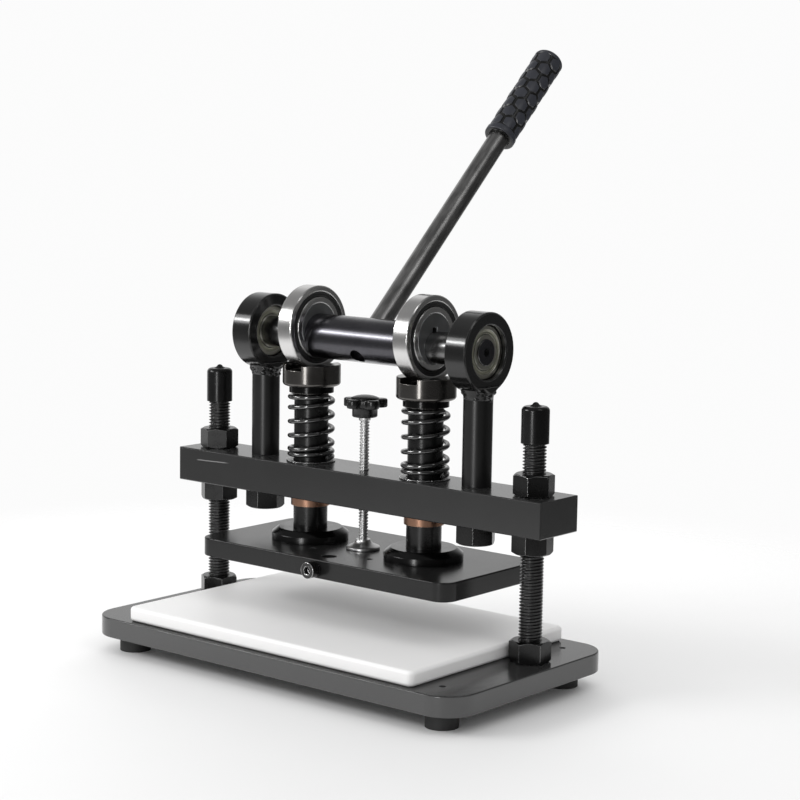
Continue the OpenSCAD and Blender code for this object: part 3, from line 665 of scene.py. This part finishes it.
# %% The thread rule
TURN_ROWS, SPARE_TURNS, CREST_FLAT, TOUCHING = 4, 4, 0.125, 0.00001
thread_sizes = dict(Middle=tuple, Crest=float, Depth=float, Pitch=float, Low=float, High=float, Around=int)
thread_tree, size = new_rule("thread_rule", thread_sizes)
tall = size["High"] - size["Low"]
rows = TURN_ROWS * ((tall / size["Pitch"]).floor() + SPARE_TURNS)
grid = rows.node(
    "GeometryNodeMeshGrid", {}, {"Size X": 1.0, "Size Y": 1.0, "Vertices X": size["Around"], "Vertices Y": rows}
)
flat = grid.node("GeometryNodeInputPosition", {}, {})
lap = flat.part("X") + 0.5
row = ((flat.part("Y") + 0.5) * (rows - 1) + 0.25).floor()
turn = (row / TURN_ROWS + 0.01).floor()
step = row - TURN_ROWS * turn
root = (step / 2 + 0.01).floor()
side = step - 2 * root
band = (side - 0.5) * (CREST_FLAT + CREST_FLAT * root)
climb = (turn + 0.5 * root + band - SPARE_TURNS / 2 + lap) * size["Pitch"]
run_out = (climb.least(tall - climb) / size["Pitch"]).most(0.0)
past = ((-1 * climb).most(climb - tall) / size["Pitch"]).most(0.0).least(1.0)
radius = (size["Crest"] - size["Depth"] + size["Depth"] * (1 - root) * run_out.least(1.0)) * (1 - past)
wound = radius.wind(lap * math.tau, climb.most(0.0).least(tall) + size["Low"])
rolled = grid.node("GeometryNodeSetPosition", {}, {"Geometry": grid, "Position": wound.plus(size["Middle"])})
joined = rolled.node("GeometryNodeMergeByDistance", {}, {"Geometry": rolled, "Distance": TOUCHING})
end_rule(thread_tree, size, joined)

SIDES, COLUMN_X = {"left": -1, "right": 1}, 0.165
for side_name, sign in SIDES.items():
    low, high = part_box("column_" + side_name)
    column = grow(
        "column_thread_" + side_name, thread_tree, black_thread, Middle=(sign * COLUMN_X, AXIS_Y, 0.0),
        Crest=0.009, Depth=0.00153, Pitch=0.0025, Low=low.z, High=high.z, Around=49,
    )
    place(column, "base", "black_steel", "column_" + side_name, sharp=35)

# %% [markdown]
# Many round parts of the machine were turned on a lathe, and they are made the same way here: an outline of points
# is swept round an axis. A Screw modifier could do that too, but a helper takes the outline in millimetres,
# sweeps it round any axis and leaves a closed mesh.

# %% A lathe
JOIN, NO_AREA = 1e-6, 1e-7


def close_mesh(name, made, finish):
    """Joins points that meet, drops faces with no area, turns the faces outward and makes the object."""
    bmesh.ops.remove_doubles(made, verts=made.verts, dist=JOIN)
    bmesh.ops.dissolve_degenerate(made, edges=made.edges, dist=NO_AREA)
    bmesh.ops.recalc_face_normals(made, faces=made.faces)
    mesh = bpy.data.meshes.new(name)
    made.to_mesh(mesh)
    made.free()
    mesh.materials.append(finish)
    return add_object(name, mesh)


def turned(name, finish, outlines, origin, along, steps=96):
    """Sweeps each outline of (distance along the axis, radius) in millimetres round the axis from origin."""
    axis = Vector(along).normalized()
    first = axis.orthogonal().normalized()
    second = axis.cross(first)
    made = bmesh.new()
    for outline in outlines:
        rings = []
        for index in range(steps):
            spin = math.tau * index / steps
            out = math.cos(spin) * first + math.sin(spin) * second
            rings.append([made.verts.new(Vector(origin) + (axis * s + out * r) * MM) for s, r in outline])
        for ring, after in zip(rings, rings[1:] + rings[:1]):
            for index in range(len(outline)):
                far = (index + 1) % len(outline)
                made.faces.new((ring[index], after[index], after[far], ring[far]))
    return close_mesh(name, made, finish)


print("lathe ready")

# %% [markdown]
# The limit screw is the same thread as the columns' in a smaller size, plated bright.
# A short plain neck, turned on the lathe, shows under the knob.

# %% The limit screw
NECK_UNDER_KNOB = 3.1
low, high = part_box("limit_screw")
screw_axis = Vector((low.x + high.x, low.y + high.y, 0)) / 2
screw = grow(
    "limit_screw_thread", thread_tree, zinc_bright, Middle=tuple(screw_axis), Crest=0.004,
    Depth=0.0009, Pitch=0.0025, Low=low.z, High=high.z, Around=33,
)
place(screw, "limit_screw", "zinc", "limit_screw", sharp=35)
neck_line = [(0, 0), (0, 4.1), (0.5, 4.6), (1.2, 4.75), (3.2, 4.75), (3.2, 0)]
knob_foot = screw_axis + Vector((0, 0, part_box("star_knob")[0].z))
neck_foot = knob_foot - Vector((0, 0, NECK_UNDER_KNOB * MM))
neck = turned("limit_screw_neck", zinc_bright, [neck_line], neck_foot, (0, 0, 1), steps=64)
place(neck, "limit_screw", "zinc", sharp=40)

# %% [markdown]
# A return spring is one wire wound on a helix whose end turns lie close together.
# The tree bends a straight line of points to that helix and sweeps a round wire along it.
# When the lever comes down the real spring shortens. Each spring here keeps a plain mesh of its own.

# %% The springs
COIL_POINTS, WIRE_SIDES = 320, 14
coil_sizes = dict(
    Middle=tuple, Coil=float, Wire=float, Turns=float, Close=float, Open=float, Below=float, Above=float
)
coil_tree, size = new_rule("coil_rule", coil_sizes)
line = size["Coil"].node("GeometryNodeCurvePrimitiveLine", {}, {"End": (1.0, 0.0, 0.0)})
line = line.node("GeometryNodeResampleCurve", {}, {"Curve": line, "Count": COIL_POINTS})
along = line.node("GeometryNodeSplineParameter", {}, {}, "Factor") * size["Turns"]
working = size["Turns"] - size["Below"] - size["Above"]
rise = (
    size["Wire"]
    + size["Close"] * along.least(size["Below"])
    + size["Open"] * (along - size["Below"]).most(0.0).least(working)
    + size["Close"] * (along - size["Below"] - working).most(0.0)
)
helix = size["Coil"].wind(along * math.tau, rise)
bent = line.node("GeometryNodeSetPosition", {}, {"Geometry": line, "Position": helix.plus(size["Middle"])})
wire = bent.node("GeometryNodeCurvePrimitiveCircle", {}, {"Resolution": WIRE_SIDES, "Radius": size["Wire"]})
swept = bent.node("GeometryNodeCurveToMesh", {}, {"Curve": bent, "Profile Curve": wire, "Fill Caps": True})
end_rule(coil_tree, size, swept)

PLUNGER_X, SPRING_FOOT, SPRING_HEIGHT, PRESS_TRAVEL = 0.060, 158.5, 55.2, 11.1
for side_name, sign in SIDES.items():
    foot = (sign * PLUNGER_X, AXIS_Y, SPRING_FOOT * MM)
    spring = grow(
        "return_spring_" + side_name, coil_tree, spring_black, Middle=foot, Coil=0.0174, Wire=0.0020,
        Turns=6.0, Close=0.0043, Open=0.011557, Below=1.75, Above=0.75,
    )
    place(spring, "beam", "spring_steel", "spring_" + side_name, sharp=60)
    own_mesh(spring)

# %% [markdown]
# The grip is a rubber sleeve pressed over the lever, with raised six-sided pads so that a hand can't slip.
# One pad is a six-sided sole, raised to a smaller, slightly domed top and closed underneath.

# %% One pad of the grip
CORNER, PAD_TAPER, PAD_DOME = 0.5774, 0.16, 0.3
pad_sizes = dict(Sleeve=float, Across=float, Gap=float, Lift=float, Start=float, Around=int, Rows=int, Phase=float)
pad_tree, size = new_rule("pad_rule", pad_sizes)
pitch = size["Across"]
sole_size = {"Vertices": 6, "Radius": (pitch - size["Gap"]) * CORNER}
sole = pitch.node("GeometryNodeMeshCircle", {"fill_type": "NGON"}, sole_size)
sole = sole.node("GeometryNodeTransform", {}, {"Geometry": sole, "Rotation": (0, 0, math.pi / 6)})
sole = sole.node("GeometryNodeSubdivideMesh", {}, {"Mesh": sole, "Level": 2})
lift = {"Mesh": sole, "Offset Scale": size["Lift"], "Individual": False}
raised = sole.node("GeometryNodeExtrudeMesh", {"mode": "FACES"}, lift)
top_faces = Signal(pad_tree, raised.socket.node.outputs["Top"])
spot = raised.node("GeometryNodeInputPosition", {}, {})
x, y = spot.part("X"), spot.part("Y")
off_middle = (x**2 + y**2) / (pitch * pitch * 0.25)
dome = size["Lift"] * PAD_DOME * (1 - off_middle).most(0.0)
inward = spot.node("ShaderNodeCombineXYZ", {}, {0: x * -PAD_TAPER, 1: y * -PAD_TAPER, 2: dome})
moved = {"Geometry": raised, "Selection": top_faces, "Offset": inward}
raised = raised.node("GeometryNodeSetPosition", {}, moved)
under = sole.node("GeometryNodeFlipFaces", {}, {"Mesh": sole})
pad = raised.node("GeometryNodeJoinGeometry", {}, {})
for half in (raised, under):
    pad_tree.links.new(half.socket, pad.socket.node.inputs[0])
pad = pad.node("GeometryNodeMergeByDistance", {}, {"Geometry": pad, "Distance": TOUCHING})
print("pad ready")

# %% [markdown]
# The pads are laid out flat as a honeycomb, where every second row is shifted by half a pad.
# The tree then wraps the sheet round the sleeve, so every pad follows the curve and the last row meets the first.

# %% The pads round the sleeve
ROW_STEP, EVEN_ROWS, PAD_SINK = 0.866, 50, 0.0003
lattice_size = {
    "Size X": pitch * (size["Around"] - 1),
    "Size Y": pitch * ROW_STEP * (size["Rows"] - 1),
    "Vertices X": size["Around"],
    "Vertices Y": size["Rows"],
}
lattice = pitch.node("GeometryNodeMeshGrid", {}, lattice_size)
flat = lattice.node("GeometryNodeInputPosition", {}, {})
row = (flat.part("Y") / (pitch * ROW_STEP) + (EVEN_ROWS + 0.25)).floor()
odd = row - 2 * (row / 2).floor()
shift = odd.node("ShaderNodeCombineXYZ", {}, {0: odd * pitch * 0.5})
centres = lattice.node("GeometryNodeSetPosition", {}, {"Geometry": lattice, "Offset": shift})
laid = centres.node("GeometryNodeInstanceOnPoints", {}, {"Points": centres, "Instance": pad})
laid = laid.node("GeometryNodeRealizeInstances", {}, {0: laid})
flat = laid.node("GeometryNodeInputPosition", {}, {})
reach = size["Sleeve"] - PAD_SINK + flat.part("Z")
angle = flat.part("X") * (math.tau / pitch) / size["Around"] + size["Phase"]
wrap = reach.wind(angle, flat.part("Y") + pitch * (ROW_STEP / 2) * (size["Rows"] - 1) + size["Start"])
laid = laid.node("GeometryNodeSetPosition", {}, {"Geometry": laid, "Position": wrap})
end_rule(pad_tree, size, laid)
print("pad rule ready")

# %% [markdown]
# The sleeve is turned round the lever's axis, with a collar at its open end and a rounded closed end.
# The pads come out of their tree upright, so their mesh is leaned over to the lever.

# %% The grip
along_lever = Vector((0, math.cos(LEVER), math.sin(LEVER)))
sleeve_line = [
    (231.4, 8.8), (231, 9.4), (231, 12.6), (231.4, 13.3), (232.2, 13.6), (235.8, 13.6), (236.6, 13.3), (237, 12.8),
    (237.6, 12.0), (324.6, 12.0), (325.2, 12.8), (326.0, 13.2), (327.0, 13.1), (328.0, 12.6), (329.0, 11.7),
    (330.0, 10.3), (330.7, 8.5), (331.2, 6.3), (331.5, 3.5), (331.6, 0), (330.1, 0), (330.1, 8.8),
]
grip = turned("lever_grip_rubber", grip_rubber, [sleeve_line], SHAFT, along_lever, steps=80)
pads = grow(
    "lever_grip_pads", pad_tree, grip_rubber, Sleeve=0.0119, Across=0.01288, Gap=0.0012, Lift=0.0013,
    Start=0.2420, Around=6, Rows=8, Phase=0.35,
)
pads.data.transform(Matrix.Translation(SHAFT) @ along_lever.to_track_quat("Z", "X").to_matrix().to_4x4())
place(grip, "camshaft", "grip_rubber", "lever_grip", sharp=50)
place(pads, "camshaft", "grip_rubber", sharp=30)

# %% [markdown]
# The star knob is one plastic moulding: a round hub, five rounded lobes and a shallow lens on top.
# Stacked cylinders would show hard joins, so it is built as rows of points. Each row is a height and either the
# radius of a circle or None, and then it is the lobed outline drawn in by the third number.
# Faces join neighbouring rows.

# %% The star knob
LOBES, LOBE_TURN, KNOB_R, LOBE_HALF, VALLEY = 5, math.radians(50), 18.2, 5.3, 12.2
CORNER_SOFTNESS, LEAST_R, KNOB_STEPS = 1.6, 10.7, 200


def lobed(spin):
    """Radius of the star's outline in one direction: the hub and the nearest lobe, with the corner filled."""
    off = (spin - LOBE_TURN + math.pi / LOBES) % (math.tau / LOBES) - math.pi / LOBES
    centre = KNOB_R - LOBE_HALF
    aside = centre * math.sin(off)
    tip = centre * math.cos(off) + math.sqrt(max(LOBE_HALF**2 - aside**2, 0))
    flank = LOBE_HALF / max(abs(math.sin(off)), 0.05)
    lobe = tip if abs(aside) < LOBE_HALF and tip * math.cos(off) > centre else min(flank, KNOB_R)
    return math.log(math.exp(lobe * CORNER_SOFTNESS) + math.exp(VALLEY * CORNER_SOFTNESS)) / CORNER_SOFTNESS


knob_rows = [
    (0, 0, 0), (0, 8.7, 0), (0.2, 9.6, 0), (0.7, 10.1, 0), (1.5, 10.2, 0), (7.2, 10.2, 0), (7.7, 10.6, 0),
    (7.8, None, 1.3), (8.05, None, 0.45), (8.8, None, 0), (13.5, None, 0), (14.35, None, 0.35), (14.75, None, 1.1),
    (14.8, 10.8, 0), (14.95, 11.1, 0), (15.25, 11.25, 0), (15.5, 11.1, 0), (16.2, 9.6, 0), (16.9, 7.4, 0),
    (17.4, 4.8, 0), (17.65, 2.2, 0), (17.7, 0, 0),
]
spins = [math.tau * index / KNOB_STEPS for index in range(KNOB_STEPS)]
made = bmesh.new()
rows = []
for rise, circle, inset in knob_rows:
    reach = [circle if circle is not None else max(lobed(spin) - inset, LEAST_R) for spin in spins]
    points = [Vector((r * math.cos(spin), r * math.sin(spin), rise)) for spin, r in zip(spins, reach)]
    rows.append([made.verts.new(knob_foot + point * MM) for point in points])
for row, above in zip(rows, rows[1:]):
    for index in range(KNOB_STEPS):
        far = (index + 1) % KNOB_STEPS
        made.faces.new((row[index], row[far], above[far], above[index]))
knob = close_mesh("star_knob_moulding", made, knob_plastic)
place(knob, "limit_screw", "knob_plastic", "star_knob", sharp=40)

# %% [markdown]
# Each bearing ring is welded to its stem. First the fillet: a hollow curve that touches the stem and the ring,
# turned round the stem and cut off flush with the faces of the ring.

# %% The weld fillets
FILLET_R, FILLET_OUT, FILLET_DOWN, FILLET_OVER = 12, 23.5, 36.0, 0.05
POST_X, FILLET_LOW, FILLET_HIGH, STEM_INSIDE, FLUSH = 0.111, 37, 25.5, 11.3, 0.1
fillet_line = [(FILLET_LOW, STEM_INSIDE)]
for angle in range(0, 57, 7):
    a = math.radians(angle)
    fillet_line.append((FILLET_DOWN - FILLET_R * math.sin(a), FILLET_OUT + FILLET_OVER - FILLET_R * math.cos(a)))
fillet_line.append((FILLET_HIGH, STEM_INSIDE))
for side_name, sign in SIDES.items():
    ring_middle = (sign * POST_X, SHAFT.y, SHAFT.z)
    fillet = turned("weld_fillet_" + side_name, gloss_black, [fillet_line], ring_middle, (0, 0, -1))
    low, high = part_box("bearing_post_" + side_name)
    for corner in fillet.data.vertices:
        corner.co.x = min(max(corner.co.x, low.x + FLUSH * MM), high.x - FLUSH * MM)
    place(fillet, "beam", "black_steel", sharp=40)

# %% [markdown]
# Over the fillet lie two rows of overlapping beads that nobody has ground off.
# The tree sets points on a circle round the stem, lifts each to the underside of the ring and puts a small flattened
# ball there, with its size and place chosen by a seeded random value so that the row looks laid by hand.
# The right post was welded more smoothly, so its beads lie deeper.

# %% The weld beads
bead_sizes = dict(Middle=tuple, Stem=float, Ring=float, Bead=float, Drop=float, Count=int, Seed=int)
bead_tree, size = new_rule("bead_rule", bead_sizes)
seam = size["Stem"].node("GeometryNodeMeshCircle", {}, {"Vertices": size["Count"], "Radius": size["Stem"]})
flat = seam.node("GeometryNodeInputPosition", {}, {})


def random_vector(low, high, seed):
    settings, limits = {"data_type": "FLOAT_VECTOR"}, {0: low, 1: high, "Seed": seed}
    return flat.node("FunctionNodeRandomValue", settings, limits)


over = flat.part("Y")
under_ring = (size["Ring"] ** 2 - over * over) ** 0.5
jitter = random_vector((-0.0003, -0.0003, -0.0012), (0.0003, 0.0003, 0.0012), size["Seed"])
drop = flat.node("ShaderNodeCombineXYZ", {}, {2: -1 * under_ring - size["Drop"]})
offset = drop.plus(jitter).plus(size["Middle"])
placed = seam.node("GeometryNodeSetPosition", {}, {"Geometry": seam, "Offset": offset})
ball = placed.node("GeometryNodeMeshIcoSphere", {}, {"Radius": size["Bead"], "Subdivisions": 2})
spread = random_vector((0.8, 0.8, 0.6), (1.3, 1.3, 1.1), size["Seed"] + 7)
beads = placed.node("GeometryNodeInstanceOnPoints", {}, {"Points": placed, "Instance": ball, "Scale": spread})
end_rule(bead_tree, size, beads)

RING_R, RIGHT_DEEPER, FIRST_SEED, RIGHT_SEED = 0.031, 0.0006, 3, 10
weld_rows = (
    dict(Stem=0.0110, Drop=0.0006, Bead=0.0029, Count=14),
    dict(Stem=0.0100, Drop=0.0046, Bead=0.0026, Count=12),
)
for side_name, sign in SIDES.items():
    is_right = sign > 0
    for layer, weld_row in enumerate(weld_rows):
        row_sizes = weld_row | {"Stem": weld_row["Stem"] - RIGHT_DEEPER * is_right}
        weld = grow(
            f"weld_beads_{side_name}_{layer}", bead_tree, gloss_black, Middle=(sign * POST_X, SHAFT.y, SHAFT.z),
            Ring=RING_R, Seed=FIRST_SEED + layer + RIGHT_SEED * is_right, **row_sizes,
        )
        place(weld, "beam", "black_steel", sharp=180)

# %% [markdown]
# Bearings are closed by thin covers. A rubber seal on a roller has a moulded lip and a groove, and a pressed steel
# shield on a shaft bearing has a rolled edge and a step. Both are turned outlines, one for each face of the bearing.

# %% Seals and shields
seal_line = [
    (6.4, 25.17), (6.4, 29.23), (6.75, 29.23), (6.95, 28.9), (6.95, 28.2), (6.7, 27.9), (6.7, 26.9), (7.0, 26.6),
    (7.05, 25.9), (6.85, 25.5), (6.6, 25.17),
]
shield_line = [
    (4.9, 14.15), (4.9, 17.25), (5.35, 17.25), (5.5, 17.0), (5.5, 16.6), (5.25, 16.3), (5.25, 15.1), (5.45, 14.8),
    (5.45, 14.4), (5.2, 14.15),
]
seal_lines, shield_lines = (
    [[(face * s, r) for s, r in outline] for face in (-1, 1)] for outline in (seal_line, shield_line)
)
for side_name in SIDES:
    roller_at, bearing_at = middle_of("roller_outer_" + side_name), middle_of("bearing_outer_" + side_name)
    seals = turned("roller_seal_" + side_name, seal_rubber, seal_lines, roller_at, (1, 0, 0), steps=120)
    place(seals, "roller_" + side_name, "seal_rubber", "roller_seals_" + side_name, sharp=30)
    shields = turned("bearing_shield_" + side_name, shield_olive, shield_lines, bearing_at, (1, 0, 0), steps=120)
    place(shields, "beam", "shield_steel", "bearing_shields_" + side_name, sharp=30)

# %% [markdown]
# The plunger flanges have a wide chamfer, and the foot of the limit screw flares from its neck to a thin rim.
# Both are turned parts, so both are swept outlines again.

# %% Flanges and the limit foot
flange_line = [(0, 14.05), (0, 31.1), (0.4, 31.5), (5.6, 31.5), (6.0, 31.3), (9.7, 26.6), (10, 26.1), (10, 14.05)]
for side_name in SIDES:
    low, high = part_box("flange_" + side_name)
    foot = Vector(((low.x + high.x) / 2, (low.y + high.y) / 2, low.z))
    flange = turned("plunger_flange_" + side_name, flange_black, [flange_line], foot, (0, 0, 1), steps=128)
    place(flange, "press", "black_steel", "flange_" + side_name, sharp=30)

foot_line = [
    (0, 0), (0, 13.1), (0.4, 13.6), (1.9, 13.6), (2.4, 13.2), (3.0, 11.6), (3.8, 9.6), (4.8, 7.8), (6.0, 6.5),
    (7.2, 5.9), (8, 5.8), (8, 0),
]
foot = screw_axis + Vector((0, 0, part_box("limit_foot")[0].z))
limit_foot = turned("limit_foot_flare", zinc_bright, [foot_line], foot, (0, 0, 1))
place(limit_foot, "limit_foot", "zinc", "limit_foot", sharp=35)

# %% [markdown]
# The remaining solids already have the right shape, so they only take a finish in place of the plain colour
# they were packed with. Nodes in pairs are named once, with both sides filled in.

# %% Finishes on the CAD solids
finishes = {
    satin_black: ["base_plate", "cross_beam"],
    gloss_black: ["bearing_post"],
    black_oxide: ["base_nut", "lower_nut", "upper_nut", "post_nut", "plunger_screws", "plunger", "hub_keys"],
    screw_black: ["clamp_screw", "spring_washer"],
    cap_brown: ["slotted_cap"],
    hub_grey: ["hub"],
    blued: ["cam_shaft"],
    drawn: ["lever_bar"],
    plate_black: ["press_plate"],
    roller_ground: ["roller_outer", "roller_inner"],
    bearing_ring: ["bearing_outer", "bearing_inner"],
    ball_bright: ["roller_balls", "bearing_balls"],
    zinc_bright: ["foot_screws"],
    bush_bronze: ["bush"],
    foot_rubber: ["rubber_feet"],
    cap_vinyl: ["thread_cap"],
    board_white: ["cutting_board"],
}
painted = 0
for finish, names in finishes.items():
    for name in names:
        for node in [name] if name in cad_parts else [f"{name}_{side_name}" for side_name in SIDES]:
            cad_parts[node].material_slots[0].material = finish
            painted += 1
print("finishes on", painted, "of", len(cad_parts), "CAD solids")
